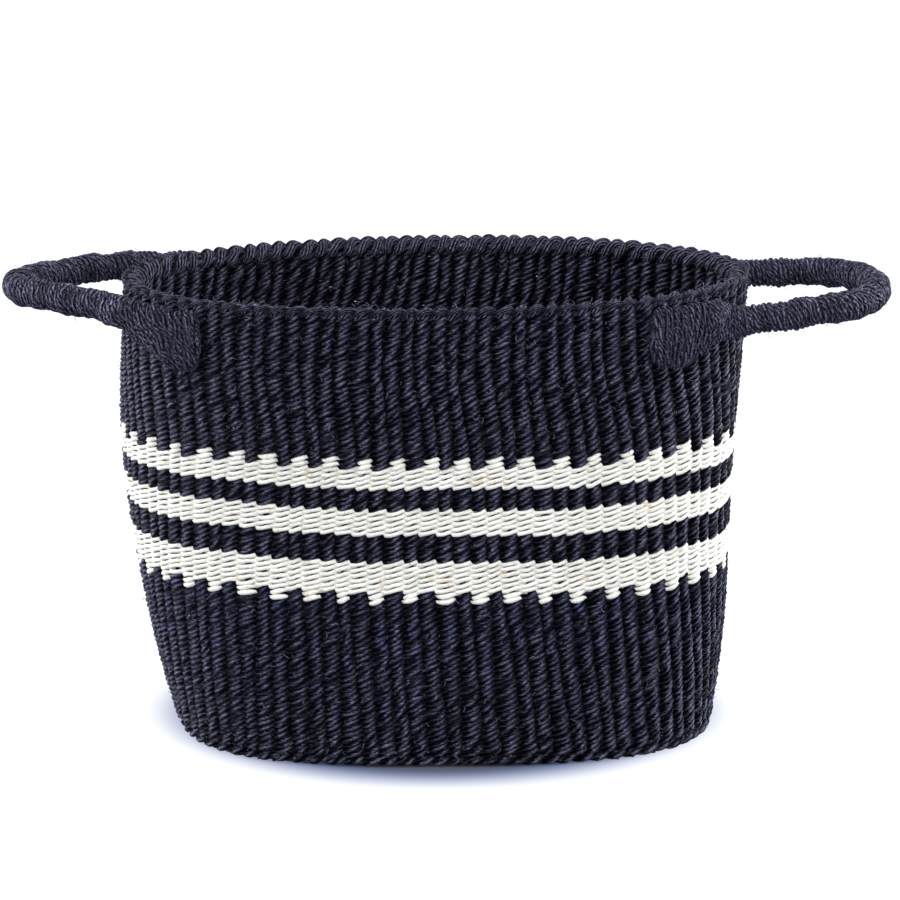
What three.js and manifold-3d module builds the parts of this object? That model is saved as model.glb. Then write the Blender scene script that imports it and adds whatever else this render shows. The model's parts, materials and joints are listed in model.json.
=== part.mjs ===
// A hand-twined sisal basket: a soft oval tub with three pale bands, two of them toothed, a plaited rim,
// a rope-like ground row and two wrapped rope handles whose ends are fanned out and stitched to the wall.
// Millimetres, +Z up. The origin is on the ground under the middle of the base; +X points to the right handle.

import * as THREE from "three";
import { mergeVertices } from "three/addons/utils/BufferGeometryUtils.js";
import Module from "manifold-3d";

const wasm = await Module();
wasm.setup();

// Weave
const warpCount = 96; // upright ribs round the wall, an even number so that the teeth alternate
const rowPitch = 3.2; // height of one twined row
const ribDepth = 1.5; // from the crest of a rib to the groove beside it
const wallThickness = 7.5; // warp and the weft on both its faces
const clearance = 0.3; // left between pieces that touch

// Rows from the ground row up to the rim
const lowerDarkRows = 30;
const toothRows = 2;
const lowerPaleRows = 6;
const darkRowsBelow = 5;
const middlePaleRows = 5;
const darkRowsAbove = 4;
const upperPaleRows = 4;
const upperDarkRows = 27;

// Ground row, base and rim
const groundRowHeight = 7.5;
const groundRowWidth = 9.5;
const groundRowTuck = 4.5; // how far its underside draws in
const groundStrandDepth = 1.2;
const groundStrands = 48;
const baseThickness = 5.5;
const rimHeight = 5;
const rimOverhang = 3; // past the ribs below it, outside
const rimInnerLip = 3; // past the inner face of the wall
const rimLoopDepth = 1.6; // from the top of a loop to the dip beside it

// Wall outline at four heights: half sizes, squareness (2 is an ellipse), twist seen from above, shift of the
// middle along X, and how much wider the ribs stand at the long sides' middles than on average.
const foot = { halfLength: 169.5, halfWidth: 111, squareness: 3, twistDeg: 1.3, shiftX: 4.5, spread: 0.085 };
const hip = { halfLength: 181.5, halfWidth: 112, squareness: 2.6, twistDeg: 0, shiftX: 0, spread: 0.02 };
const belly = { halfLength: 191.5, halfWidth: 112.5, squareness: 2.3, twistDeg: -1.8, shiftX: -6.5, spread: -0.07 };
const brim = { halfLength: 193, halfWidth: 127, squareness: 2.11, twistDeg: 6.3, shiftX: 0, spread: -0.165 };
const hipRow = 17;
const bellyRow = 52;

// Handles: rope, and where each end leaves the wall. turnDeg is the bearing of the end seen from above, drop its
// depth under the top of the rim, heading the way the rope sets off in plan, climb its slope and pull how far it
// holds that way. The tip is placed from the point midway between the two ends, and its widths say how far the
// rope runs straight on to the front and the back of it. fan is how far each root spreads along the wall.
const ropeRadius = 9;
const wrapThickness = 1.8; // one layer of yarn
const ropeStandOff = 4; // between the rope and the ribs where it leaves the wall
const knuckleRadius = 9.2; // rounded end of the rope at its root
const leftHandle = {
  front: { turnDeg: 200.3, drop: 12, headingDeg: 140, climbDeg: 10, pull: 26 },
  back: { turnDeg: 155, drop: 12, headingDeg: 180, climbDeg: 3, pull: 45 },
  tip: { out: 84, back: -12, up: 3.5, frontWidth: 28, backWidth: 38 },
  fan: 51,
};
const rightHandle = {
  front: { turnDeg: -17.3, drop: 20, headingDeg: -10, climbDeg: 10, pull: 44 },
  back: { turnDeg: 22.5, drop: 17, headingDeg: 5, climbDeg: 0, pull: 45 },
  tip: { out: 89, back: 3, up: 7.5, frontWidth: 76, backWidth: 60 },
  fan: 56,
};

// Stitched roots: the rope flattens into a fan on the wall under the rim
const fanStart = 21; // along the wall from the root to where the rope first lies on it
const fanHeight = 39; // at its far edge
const fanThickness = 6;
const fanGap = 0.5; // to the ribs under it
const fanSections = 4;
const ropeSides = 8;
const ropeSteps = 14;

const darkYarn = new THREE.MeshStandardMaterial({ color: 0x20212f, roughness: 0.85, metalness: 0 });
const handleYarn = new THREE.MeshStandardMaterial({ color: 0x33344a, roughness: 0.85, metalness: 0 });
const paleYarn = new THREE.MeshStandardMaterial({ color: 0xe9e6dc, roughness: 0.8, metalness: 0 });
const ropeCore = new THREE.MeshStandardMaterial({ color: 0x6d6255, roughness: 0.9, metalness: 0 });

// Rows counted from the ground row give every height in the wall
const rowHeight = (row) => groundRowHeight + row * rowPitch;
const row = { lowerTeeth: lowerDarkRows };
row.lowerPale = row.lowerTeeth + toothRows;
row.darkBelow = row.lowerPale + lowerPaleRows;
row.middlePale = row.darkBelow + darkRowsBelow;
row.darkAbove = row.middlePale + middlePaleRows;
row.upperPale = row.darkAbove + darkRowsAbove;
row.upperTeeth = row.upperPale + upperPaleRows;
row.upperDark = row.upperTeeth + toothRows;
row.top = row.upperDark + upperDarkRows;
const wallTop = rowHeight(row.top);
const rimTop = wallTop + rimHeight;

// A smooth curve through the four stations, by the mean slope at each
const stations = [
  { height: 0, ...foot },
  { height: rowHeight(hipRow), ...hip },
  { height: rowHeight(bellyRow), ...belly },
  { height: wallTop, ...brim },
];

function slopeAt(index, key) {
  const secants = [];
  for (const i of [index - 1, index]) {
    if (i < 0 || i + 1 >= stations.length) continue;
    secants.push((stations[i + 1][key] - stations[i][key]) / (stations[i + 1].height - stations[i].height));
  }
  return secants.reduce((sum, s) => sum + s, 0) / secants.length;
}

function stationValue(height, key) {
  const last = stations.length - 2;
  let i = 0;
  while (i < last && height > stations[i + 1].height) i += 1;
  const [a, b] = [stations[i], stations[i + 1]];
  const span = b.height - a.height;
  const t = THREE.MathUtils.clamp((height - a.height) / span, 0, 1);
  const rise = t * t * (3 - 2 * t);
  return (
    a[key] * (1 - rise) +
    b[key] * rise +
    span * (slopeAt(i, key) * t * (1 - t) * (1 - t) - slopeAt(i + 1, key) * t * t * (1 - t))
  );
}

// The crest line of the ribs at one height, as points with the length run so far, from the middle of the front
// round by the right. Tables are kept, because many pieces ask for the same height.
const outlineSamples = 720;
const outlines = new Map();

function outlineAt(height) {
  const key = height.toFixed(4);
  if (outlines.has(key)) return outlines.get(key);
  const at = (name) => stationValue(height, name);
  const [a, b, n] = [at("halfLength"), at("halfWidth"), at("squareness")];
  const twist = THREE.MathUtils.degToRad(at("twistDeg"));
  const points = [];
  const run = [0];
  for (let i = 0; i <= outlineSamples; i += 1) {
    const bearing = -Math.PI / 2 + (2 * Math.PI * i) / outlineSamples;
    const [c, s] = [Math.abs(Math.cos(bearing - twist)), Math.abs(Math.sin(bearing - twist))];
    const radius = ((c / a) ** n + (s / b) ** n) ** (-1 / n);
    points.push(new THREE.Vector2(at("shiftX") + radius * Math.cos(bearing), radius * Math.sin(bearing)));
    if (i > 0) run.push(run[i - 1] + points[i].distanceTo(points[i - 1]));
  }
  const outline = { points, run, perimeter: run[outlineSamples], spread: at("spread") };
  outlines.set(key, outline);
  return outline;
}

// A point on that line at a share of its length, set in from it square to the line
function outlinePoint(height, share, inset = 0) {
  const { points, run, perimeter } = outlineAt(height);
  const distance = THREE.MathUtils.euclideanModulo(share, 1) * perimeter;
  let [low, high] = [0, outlineSamples];
  while (high - low > 1) {
    const mid = (low + high) >> 1;
    if (run[mid] <= distance) low = mid;
    else high = mid;
  }
  const t = (distance - run[low]) / (run[high] - run[low]);
  const before = points[(low + outlineSamples - 1) % outlineSamples];
  const after = points[(high + 1) % outlineSamples];
  const along = after.clone().sub(before).normalize();
  const point = points[low].clone().lerp(points[high], t);
  return new THREE.Vector3(point.x - along.y * inset, point.y + along.x * inset, height);
}

// Where warp number k stands (halves are the grooves between warps), moved sideways by a length if asked
function warpPoint(height, k, inset = 0, sideways = 0) {
  const { perimeter, spread } = outlineAt(height);
  const share = k / warpCount;
  const fanned = share + (spread * Math.sin(4 * Math.PI * share)) / (4 * Math.PI);
  return outlinePoint(height, fanned + sideways / perimeter, inset);
}

// Triangles of one closed solid, collected face by face
class Faces {
  constructor() {
    this.positions = [];
  }
  polygon(...corners) {
    for (let i = 1; i + 1 < corners.length; i += 1) {
      for (const corner of [corners[0], corners[i], corners[i + 1]]) this.positions.push(...corner.toArray());
    }
  }
  geometry() {
    const made = new THREE.BufferGeometry();
    made.setAttribute("position", new THREE.Float32BufferAttribute(this.positions, 3));
    made.computeVertexNormals();
    return made;
  }
}

// One ring of wall points: crest and groove of every rib outside, and the inner face. teeth is the parity of the
// warps whose columns stand out as teeth there, which leave the clearance to the teeth between them.
function wallRing(height, teeth = null) {
  const ring = { groove: [], crest: [], inner: [], dense: teeth !== null };
  for (let k = 0; k < warpCount; k += 1) {
    const toTooth = k % 2 === teeth ? clearance / 2 : -clearance / 2;
    const sideways = ring.dense ? toTooth : 0;
    ring.groove.push(warpPoint(height, k - 0.5, ribDepth, sideways));
    ring.crest.push(warpPoint(height, k));
    ring.inner.push(warpPoint(height, k - 0.5, wallThickness, sideways));
  }
  return ring;
}

const next = (k, step = 1) => (k + step) % warpCount;

function outerFaces(faces, low, high, k) {
  faces.polygon(low.groove[k], low.crest[k], high.crest[k], high.groove[k]);
  faces.polygon(low.crest[k], low.groove[next(k)], high.groove[next(k)], high.crest[k]);
}

function innerFaces(faces, low, high, k) {
  const lower = low.dense ? [low.inner[next(k, 2)], low.inner[next(k)]] : [low.inner[next(k, 2)]];
  const upper = high.dense ? [high.inner[next(k)], high.inner[next(k, 2)]] : [high.inner[next(k, 2)]];
  faces.polygon(low.inner[k], high.inner[k], ...upper, ...lower);
}

function columnCap(faces, ring, k, up) {
  const corners = [ring.inner[k], ring.groove[k], ring.crest[k], ring.groove[next(k)], ring.inner[next(k)]];
  faces.polygon(...(up ? corners : corners.reverse()));
}

function pairCap(faces, ring, k, up) {
  const [b, c] = [next(k), next(k, 2)];
  const corners = [ring.inner[k], ring.groove[k], ring.crest[k], ring.groove[b], ring.crest[b], ring.groove[c]];
  corners.push(ring.inner[c]);
  faces.polygon(...(up ? corners : corners.reverse()));
}

function tooth(faces, low, high, k, up) {
  const j = next(k);
  outerFaces(faces, low, high, k);
  faces.polygon(low.inner[j], low.inner[k], high.inner[k], high.inner[j]);
  faces.polygon(low.inner[k], low.groove[k], high.groove[k], high.inner[k]);
  faces.polygon(low.groove[j], low.inner[j], high.inner[j], high.groove[j]);
  columnCap(faces, up ? high : low, k, up);
}

// A band of the wall between two rows. Teeth, where it has them, stand on every second warp and reach the given
// row past the band's own edge. rows between the edges follow the curve of the wall.
function wallBand({ from, to, between = [], teethUp = null, teethDown = null }) {
  const faces = new Faces();
  const gap = clearance / 2;
  const bottom = wallRing(rowHeight(from) + gap, teethDown ? teethDown.parity : null);
  const top = wallRing(rowHeight(to) - gap, teethUp ? teethUp.parity : null);
  const rings = [bottom, ...between.map((r) => wallRing(rowHeight(r))), top];
  for (let k = 0; k < warpCount; k += 1) {
    for (let i = 0; i + 1 < rings.length; i += 1) {
      outerFaces(faces, rings[i], rings[i + 1], k);
      if (k % 2 === 0) innerFaces(faces, rings[i], rings[i + 1], k);
    }
    if (k % 2 === 0 && !teethDown) pairCap(faces, bottom, k, false);
    if (k % 2 === 0 && !teethUp) pairCap(faces, top, k, true);
  }
  if (teethUp) {
    const tips = wallRing(rowHeight(teethUp.to) - gap, teethUp.parity);
    for (let k = 0; k < warpCount; k += 1) {
      if (k % 2 === teethUp.parity) tooth(faces, top, tips, k, true);
      else columnCap(faces, top, k, true);
    }
  }
  if (teethDown) {
    const tips = wallRing(rowHeight(teethDown.to) + gap, teethDown.parity);
    for (let k = 0; k < warpCount; k += 1) {
      if (k % 2 === teethDown.parity) tooth(faces, tips, bottom, k, false);
      else columnCap(faces, bottom, k, false);
    }
  }
  return faces.geometry();
}

// A closed ring lofted through sections that all have the same number of corners
function closedLoft(sections) {
  const faces = new Faces();
  sections.forEach((here, i) => {
    const there = sections[(i + 1) % sections.length];
    here.forEach((corner, j) => {
      const k = (j + 1) % here.length;
      faces.polygon(corner, there[j], there[k], here[k]);
    });
  });
  return faces.geometry();
}

// A loft with two flat ends
function openLoft(sections) {
  const faces = new Faces();
  for (let i = 0; i + 1 < sections.length; i += 1) {
    sections[i].forEach((corner, j) => {
      const k = (j + 1) % sections[i].length;
      faces.polygon(corner, sections[i][k], sections[i + 1][k], sections[i + 1][j]);
    });
  }
  faces.polygon(...[...sections[0]].reverse());
  faces.polygon(...sections[sections.length - 1]);
  return faces.geometry();
}

// The ground row's thick strands lean, so its upper edge runs half a strand ahead of its lower edge
function groundRow() {
  const sections = [];
  const lean = warpCount / groundStrands / 2;
  const top = groundRowHeight - clearance / 2;
  for (let i = 0; i < 2 * groundStrands; i += 1) {
    const k = (i * warpCount) / (2 * groundStrands);
    const dip = i % 2 ? groundStrandDepth : 0;
    const at = (height, ahead, inset) => warpPoint(0, k + ahead, inset).setZ(height);
    sections.push([
      at(0, 0, groundRowWidth),
      at(top, lean, groundRowWidth),
      at(top, lean, dip + ribDepth),
      at(groundRowHeight / 2, lean / 2, dip),
      at(0, 0, dip + groundRowTuck),
    ]);
  }
  return closedLoft(sections.map((s) => s.reverse()));
}

function baseMat() {
  const shape = new THREE.Shape();
  const sides = warpCount / 2;
  for (let i = 0; i < sides; i += 1) {
    const p = outlinePoint(0, i / sides, groundRowWidth + clearance);
    if (i === 0) shape.moveTo(p.x, p.y);
    else shape.lineTo(p.x, p.y);
  }
  return new THREE.ExtrudeGeometry(shape, { depth: baseThickness, bevelEnabled: false });
}

// Every warp is turned down into its neighbour, which leaves one leaning loop for each warp along the rim
function rimBraid() {
  const sections = [];
  const low = wallTop + clearance / 2;
  const at = (height, k, inset) => warpPoint(wallTop, k, inset).setZ(height);
  for (let i = 0; i < 2 * warpCount; i += 1) {
    const k = i / 2;
    const dip = i % 2 ? rimLoopDepth : 0;
    sections.push([
      at(low, k, wallThickness + rimInnerLip),
      at(rimTop - dip, k + 0.5, wallThickness - dip),
      at((low + rimTop) / 2, k + 0.25, dip / 2 - rimOverhang),
      at(low, k, dip / 2 - rimOverhang / 2),
    ]);
  }
  return closedLoft(sections.map((s) => s.reverse()));
}

// Heights at which the upper wall has rings; between them its faces are straight, and what lies on the wall
// follows those straight faces.
const upperWallRows = [row.upperDark, row.upperDark + Math.round(upperDarkRows / 2), row.top];

function onWall(height, share, offset) {
  const heights = upperWallRows.map(rowHeight);
  let i = 0;
  while (i < heights.length - 2 && height > heights[i + 1]) i += 1;
  const t = THREE.MathUtils.clamp((height - heights[i]) / (heights[i + 1] - heights[i]), 0, 1);
  const low = outlinePoint(heights[i], share, -offset);
  const high = outlinePoint(heights[i + 1], share, -offset);
  return low.lerp(high, t).setZ(height);
}

// Where one end of a handle leaves the wall: the middle of its rounded end, and the share of the wall's length
function rootOf({ turnDeg, drop }) {
  const height = rimTop - drop;
  const turn = THREE.MathUtils.euclideanModulo(turnDeg + 90, 360) / 360;
  const { run, perimeter } = outlineAt(wallTop);
  const share = run[Math.round(turn * outlineSamples)] / perimeter;
  return { share, centre: outlinePoint(wallTop, share, -ropeRadius - ropeStandOff).setZ(height) };
}

function handlePath(handle, side) {
  const ends = [handle.front, handle.back].map((end) => {
    const { centre } = rootOf(end);
    const heading = THREE.MathUtils.degToRad(end.headingDeg);
    const climb = THREE.MathUtils.degToRad(end.climbDeg);
    const way = new THREE.Vector3(Math.cos(heading), Math.sin(heading), Math.tan(climb)).normalize();
    return { centre, guide: centre.clone().addScaledVector(way, end.pull) };
  });
  const [front, back] = ends;
  const tip = front.centre.clone().add(back.centre).multiplyScalar(0.5);
  tip.add(new THREE.Vector3(side * handle.tip.out, handle.tip.back, handle.tip.up));
  const toFront = tip.clone().add(new THREE.Vector3(0, -handle.tip.frontWidth, 0));
  const toBack = tip.clone().add(new THREE.Vector3(0, handle.tip.backWidth, 0));
  const near = new THREE.CubicBezierCurve3(front.centre, front.guide, toFront, tip);
  const far = new THREE.CubicBezierCurve3(tip, toBack, back.guide, back.centre);
  return new THREE.CatmullRomCurve3([...near.getPoints(5), ...far.getPoints(5).slice(1)]);
}

// Rope and yarn both start where the knuckle has become narrower than the bore of the yarn
function wrappedPart(path) {
  const bore = (ropeRadius - wrapThickness) * Math.cos(Math.PI / ropeSides) - clearance;
  const trim = Math.sqrt(knuckleRadius ** 2 - bore ** 2) + clearance;
  const length = path.getLength();
  const points = [];
  for (let i = 0; i <= ropeSteps; i += 1) {
    points.push(path.getPointAt((trim + ((length - 2 * trim) * i) / ropeSteps) / length));
  }
  return new THREE.CatmullRomCurve3(points);
}

function circleShape(radius) {
  const shape = new THREE.Shape();
  shape.absarc(0, 0, radius, 0, 2 * Math.PI);
  return shape;
}

function tubeAlong(path, radius, bore = 0) {
  const shape = circleShape(radius);
  if (bore > 0) shape.holes.push(circleShape(bore));
  const settings = { extrudePath: path, steps: ropeSteps, curveSegments: ropeSides / 2, bevelEnabled: false };
  return new THREE.ExtrudeGeometry(shape, settings);
}

function solidOf(geometry) {
  const bare = new THREE.BufferGeometry().setAttribute("position", geometry.getAttribute("position"));
  if (geometry.index) bare.setIndex(geometry.index);
  const merged = mergeVertices(bare, 1e-4);
  const mesh = { numProp: 3, vertProperties: merged.attributes.position.array };
  return new wasm.Manifold(new wasm.Mesh({ ...mesh, triVerts: new Uint32Array(merged.index.array) }));
}

function geometryOf(solid) {
  const { vertProperties, triVerts, numProp } = solid.getMesh();
  const made = new THREE.BufferGeometry();
  const positions = new Float32Array((vertProperties.length / numProp) * 3);
  for (let i = 0; i < positions.length / 3; i += 1) {
    positions.set(vertProperties.subarray(i * numProp, i * numProp + 3), i * 3);
  }
  made.setAttribute("position", new THREE.BufferAttribute(positions, 3));
  made.setIndex(new THREE.BufferAttribute(triVerts, 1));
  made.computeVertexNormals();
  return made;
}

// The rope inside the yarn, with a knuckle at each end that turns against the stitched root
function handleCore(path, ends) {
  const rope = solidOf(tubeAlong(path, ropeRadius - wrapThickness - clearance));
  const knuckles = ends.map((centre) => {
    const ball = new THREE.SphereGeometry(knuckleRadius, ropeSides, ropeSides - 2);
    return solidOf(ball.translate(centre.x, centre.y, centre.z));
  });
  return geometryOf(rope.add(knuckles[0]).add(knuckles[1]));
}

// One stitched root. It starts as round rope just clear of the knuckle and spreads along the wall, towards the
// middle of the front or the back, into a thin tall edge.
function handleRoot(end, way, fan) {
  const { share, centre } = rootOf(end);
  const { perimeter } = outlineAt(wallTop);
  const topEdge = wallTop - clearance / 2;
  const corners = Array.from({ length: ropeSides }, (_, j) => (2 * Math.PI * (j + 0.5)) / ropeSides);
  const sections = [];
  for (let i = 0; i < fanSections; i += 1) {
    const t = i / (fanSections - 1);
    const halfHeight = THREE.MathUtils.lerp(ropeRadius, fanHeight / 2, t ** 1.2);
    const halfThickness = THREE.MathUtils.lerp(ropeRadius - wrapThickness, fanThickness / 2, t ** 0.75);
    const middle = topEdge - halfHeight;
    const here = share + (way * THREE.MathUtils.lerp(fanStart, fan, t)) / perimeter;
    sections.push(
      corners.map((a) => {
        const height = middle + halfHeight * Math.sin(a);
        return onWall(height, here, fanGap + halfThickness * (1 - way * Math.cos(a)));
      }),
    );
  }
  const second = sections[0].reduce((sum, p) => sum.add(p), new THREE.Vector3()).divideScalar(ropeSides);
  const along = second.clone().sub(centre).normalize();
  const across = new THREE.Vector3(0, 0, 1).cross(along).normalize();
  const up = new THREE.Vector3().crossVectors(along, across);
  const start = centre.clone().addScaledVector(along, knuckleRadius + clearance);
  const round = corners.map((a) =>
    start
      .clone()
      .addScaledVector(across, ropeRadius * Math.cos(a))
      .addScaledVector(up, ropeRadius * Math.sin(a)),
  );
  return openLoft([round, ...sections]);
}

const basket = new THREE.Group();

function add(name, geometry, material) {
  const mesh = new THREE.Mesh(geometry, material);
  mesh.name = name;
  basket.add(mesh);
}

const evenWarps = 0;
const oddWarps = 1;

add("base_mat", baseMat(), darkYarn);
add("ground_row", groundRow(), darkYarn);
add(
  "lower_wall",
  wallBand({
    from: 0,
    to: row.lowerTeeth,
    between: [hipRow],
    teethUp: { parity: evenWarps, to: row.lowerPale },
  }),
  darkYarn,
);
add(
  "pale_band_lower",
  wallBand({ from: row.lowerPale, to: row.darkBelow, teethDown: { parity: oddWarps, to: row.lowerTeeth } }),
  paleYarn,
);
add("dark_band_lower", wallBand({ from: row.darkBelow, to: row.middlePale }), darkYarn);
add("pale_band_middle", wallBand({ from: row.middlePale, to: row.darkAbove }), paleYarn);
add("dark_band_upper", wallBand({ from: row.darkAbove, to: row.upperPale }), darkYarn);
add(
  "pale_band_upper",
  wallBand({ from: row.upperPale, to: row.upperTeeth, teethUp: { parity: evenWarps, to: row.upperDark } }),
  paleYarn,
);
add(
  "upper_wall",
  wallBand({
    from: row.upperDark,
    to: row.top,
    between: upperWallRows.slice(1, -1),
    teethDown: { parity: oddWarps, to: row.upperTeeth },
  }),
  darkYarn,
);
add("rim_braid", rimBraid(), darkYarn);

const towardsFront = { left: 1, right: -1 };
for (const [name, handle, side] of [
  ["left", leftHandle, -1],
  ["right", rightHandle, 1],
]) {
  add(`${name}_handle_root_front`, handleRoot(handle.front, towardsFront[name], handle.fan), handleYarn);
  add(`${name}_handle_root_back`, handleRoot(handle.back, -towardsFront[name], handle.fan), handleYarn);
  const path = handlePath(handle, side);
  const wrapped = wrappedPart(path);
  add(`${name}_handle_core`, handleCore(wrapped, [path.getPointAt(0), path.getPointAt(1)]), ropeCore);
  add(`${name}_handle_wrap`, tubeAlong(wrapped, ropeRadius, ropeRadius - wrapThickness), handleYarn);
}

export default basket;
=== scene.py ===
import bpy
import json
import math
import numpy as np
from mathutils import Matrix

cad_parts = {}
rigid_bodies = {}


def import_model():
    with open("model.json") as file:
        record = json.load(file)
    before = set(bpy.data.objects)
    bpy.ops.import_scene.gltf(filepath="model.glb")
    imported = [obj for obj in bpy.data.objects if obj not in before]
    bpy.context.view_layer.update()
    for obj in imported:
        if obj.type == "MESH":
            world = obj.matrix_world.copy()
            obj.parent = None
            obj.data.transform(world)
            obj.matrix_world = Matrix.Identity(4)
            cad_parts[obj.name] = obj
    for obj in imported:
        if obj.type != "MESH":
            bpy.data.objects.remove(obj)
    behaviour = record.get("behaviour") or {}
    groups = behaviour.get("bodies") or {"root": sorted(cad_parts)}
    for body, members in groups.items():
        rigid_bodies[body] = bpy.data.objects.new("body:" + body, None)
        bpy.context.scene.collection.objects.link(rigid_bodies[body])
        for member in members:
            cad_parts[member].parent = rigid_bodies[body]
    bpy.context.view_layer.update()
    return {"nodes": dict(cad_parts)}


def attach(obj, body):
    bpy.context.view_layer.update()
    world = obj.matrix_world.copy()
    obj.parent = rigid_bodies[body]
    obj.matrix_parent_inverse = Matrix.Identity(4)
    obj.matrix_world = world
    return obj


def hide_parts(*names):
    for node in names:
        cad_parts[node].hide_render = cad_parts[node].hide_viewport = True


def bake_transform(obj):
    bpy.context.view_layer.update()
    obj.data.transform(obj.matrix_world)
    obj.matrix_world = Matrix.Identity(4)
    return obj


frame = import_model()
print("frame loaded,", len(frame["nodes"]), "nodes")

mm = 0.001
upward = np.array([0.0, 0.0, 1.0])


def addObject(name, data):
    made = bpy.data.objects.new(name, data)
    bpy.context.scene.collection.objects.link(made)
    return made


# The camera stands where the photograph was taken from
camera = {"lens": 99.73, "sensor": 36, "place": (0.00764, -1.5178, 0.560), "pitchDown": 0.2518, "reach": 100}

cameraData = bpy.data.cameras.new("camera")
cameraData.lens = camera["lens"]
cameraData.sensor_width = camera["sensor"]
cameraData.clip_end = camera["reach"]
cameraObject = addObject("camera", cameraData)
cameraObject.location = camera["place"]
cameraObject.rotation_euler = (math.pi / 2 - camera["pitchDown"], 0, 0)
bpy.context.scene.camera = cameraObject


# Small helpers for node trees
def addNode(tree, kind, inputs=None, **settings):
    made = tree.nodes.new(kind)
    for name, value in settings.items():
        setattr(made, name, value)
    for key, value in (inputs or {}).items():
        socket = made.inputs[key]
        if isinstance(value, bpy.types.NodeSocket):
            tree.links.new(value, socket)
        else:
            socket.default_value = value
    return made


def calc(tree, operation, *values):
    return addNode(tree, "ShaderNodeMath", dict(enumerate(values)), operation=operation).outputs[0]


def vectorCalc(tree, operation, *values, scale=None):
    inputs = dict(enumerate(values))
    if scale is not None:
        inputs["Scale"] = scale
    made = addNode(tree, "ShaderNodeVectorMath", inputs, operation=operation)
    return made.outputs["Value" if operation == "LENGTH" else "Vector"]


def combine(tree, x=0.0, y=0.0, z=0.0):
    return addNode(tree, "ShaderNodeCombineXYZ", {0: x, 1: y, 2: z}).outputs[0]


def mapRange(tree, value, old, new=(0.0, 1.0), **settings):
    inputs = {0: value, 1: old[0], 2: old[1], 3: new[0], 4: new[1]}
    return addNode(tree, "ShaderNodeMapRange", inputs, **settings).outputs[0]


def noiseAt(tree, place, scale, detail, roughness=0.5):
    inputs = {"Vector": place, "Scale": scale, "Detail": detail, "Roughness": roughness}
    return addNode(tree, "ShaderNodeTexNoise", inputs).outputs["Fac"]


# Noise mostly lies between 0.25 and 0.75, which become 1 - size and 1 + size
def aroundOne(tree, noise, size):
    return calc(tree, "MULTIPLY_ADD", noise, 4 * size, 1 - 2 * size)


def attribute(tree, name, output="Fac"):
    return addNode(tree, "ShaderNodeAttribute", attribute_name=name).outputs[output]


def mixColours(tree, factor, first, second, blend="MIX"):
    inputs = {0: factor, 6: first, 7: second}
    return addNode(tree, "ShaderNodeMix", inputs, data_type="RGBA", blend_type=blend).outputs[2]


def darken(tree, colour, level):
    grey = addNode(tree, "ShaderNodeCombineColor", {0: level, 1: level, 2: level}).outputs[0]
    return mixColours(tree, 1.0, colour, grey, "MULTIPLY")


def newMaterial(name):
    material = bpy.data.materials.new(name)
    material.use_nodes = True
    return material, material.node_tree, material.node_tree.nodes["Principled BSDF"]


# sRGB levels from 0 to 255 as a linear colour
def linear(colour):
    return [((c / 255 + 0.055) / 1.055) ** 2.4 if c > 10 else c / 3295 for c in colour] + [1]


# Yarn is plied: two bundles of fibres twist round each other, so ridges cross it at a slant. deep, body and
# bright are the colours of the grooves, the ridges' sides and their tops, sRGB as seen in daylight: deep is
# painted shade in the ply grooves and bright a painted highlight on the ridge tops. The other shade values
# darken the colour, as painted shade, where a strand dives between the ribs and along its upper and lower
# edges, where it meets the next row.
yarns = {
    "darkSisal": {
        "deep": (3, 3, 6), "body": (36, 36, 50), "bright": (102, 102, 127), "tinted": (0.5, 0.64, 1.08),
        "stops": (0.38, 0.57, 0.84), "patch": 0.4, "speckle": 0.95, "wander": 50, "fray": 3,
        "creaseShadeFrom": 0.5, "edge": 0.2, "bareFrom": 0.5, "hollowShade": 0.26, "rough": 0.55, "shine": 0.45,
        "bump": 0.9, "sheen": 0.14, "ply": 0.0216, "plySlant": 2, "plyShare": 0.42, "drift": 8, "fine": 1.9,
        "lengthwise": 260, "stain": (40, 34, 44), "stainShare": 0.72, "glint": (0.72, 0.75, 1.0),
    },
    "handleSisal": {
        "deep": (21, 20, 29), "body": (51, 50, 67), "bright": (131, 129, 160), "tinted": (0.42, 0.42, 0.44),
        "stops": (0.34, 0.54, 0.84), "patch": 0.4, "speckle": 1.3, "wander": 60, "fray": 9,
        "creaseShadeFrom": 0.6, "edge": 0.25, "bareFrom": 0.3, "hollowShade": 0.3, "rough": 0.55, "shine": 0.45,
        "bump": 1.0, "sheen": 0.14, "ply": 0.011, "plySlant": 4, "plyShare": 0.45, "drift": 26, "fine": 3.4,
        "lengthwise": 420, "stain": (40, 34, 44), "stainShare": 0.72, "glint": (0.72, 0.75, 1.0),
    },
    "rimSisal": {
        "deep": (3, 3, 6), "body": (28, 27, 39), "bright": (104, 102, 129), "tinted": (1, 1, 1),
        "stops": (0.36, 0.58, 0.88), "patch": 0.4, "speckle": 0.8, "wander": 40, "fray": 6,
        "creaseShadeFrom": 1.1, "edge": 1.0, "bareFrom": 0.4, "hollowShade": 0.15, "rough": 0.5, "shine": 0.5,
        "bump": 1.0, "sheen": 0.14, "ply": 0.016, "plySlant": 8, "plyShare": 0.6, "drift": 26, "fine": 3.0,
        "lengthwise": 300, "stain": (40, 34, 44), "stainShare": 0.72, "glint": (0.72, 0.75, 1.0),
    },
    "paleSisal": {
        "deep": (170, 164, 148), "body": (237, 236, 227), "bright": (253, 253, 249), "tinted": (1, 1, 1),
        "stops": (0.14, 0.38, 0.70), "patch": 0.08, "speckle": 0.08, "wander": 60, "fray": 3,
        "creaseShadeFrom": 0.8, "edge": 0.1, "bareFrom": 0.0, "hollowShade": 0.95, "rough": 0.6, "shine": 0.35,
        "bump": 0.5, "sheen": 0.0, "ply": 0.0064, "plySlant": 4, "plyShare": 0.22, "drift": 26, "fine": 2.6,
        "lengthwise": 220, "stain": (214, 176, 130), "stainShare": 0.69, "glint": (1, 1, 1),
    },
}
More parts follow.
